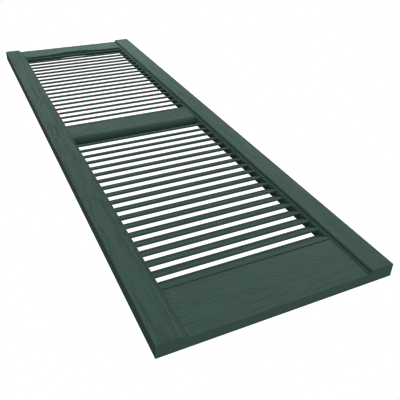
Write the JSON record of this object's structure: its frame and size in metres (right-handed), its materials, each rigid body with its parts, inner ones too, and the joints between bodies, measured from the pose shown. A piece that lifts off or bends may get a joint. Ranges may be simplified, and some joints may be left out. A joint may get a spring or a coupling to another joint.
{
  "type": "louvred shutter",
  "caption": "Open-louvre exterior shutter moulded in one piece, with wood-grain stiles and rails, a centre mullion and a low arch in the top rail.",
  "frame": {"origin": "middle of the back plane, under the centre of the shutter's outline", "axes": "+Z out of the front face, +Y towards the top end with the arch, +X to the right seen from the front with the top end up"},
  "size_m": [0.3682, 1.1938, 0.0222],
  "materials": {
    "shutter_plastic": "solid-coloured, wood-grain embossed, low sheen"
  },
  "bodies": {
    "root": {"shutter": "shutter_plastic"}
  },
  "joints": []
}
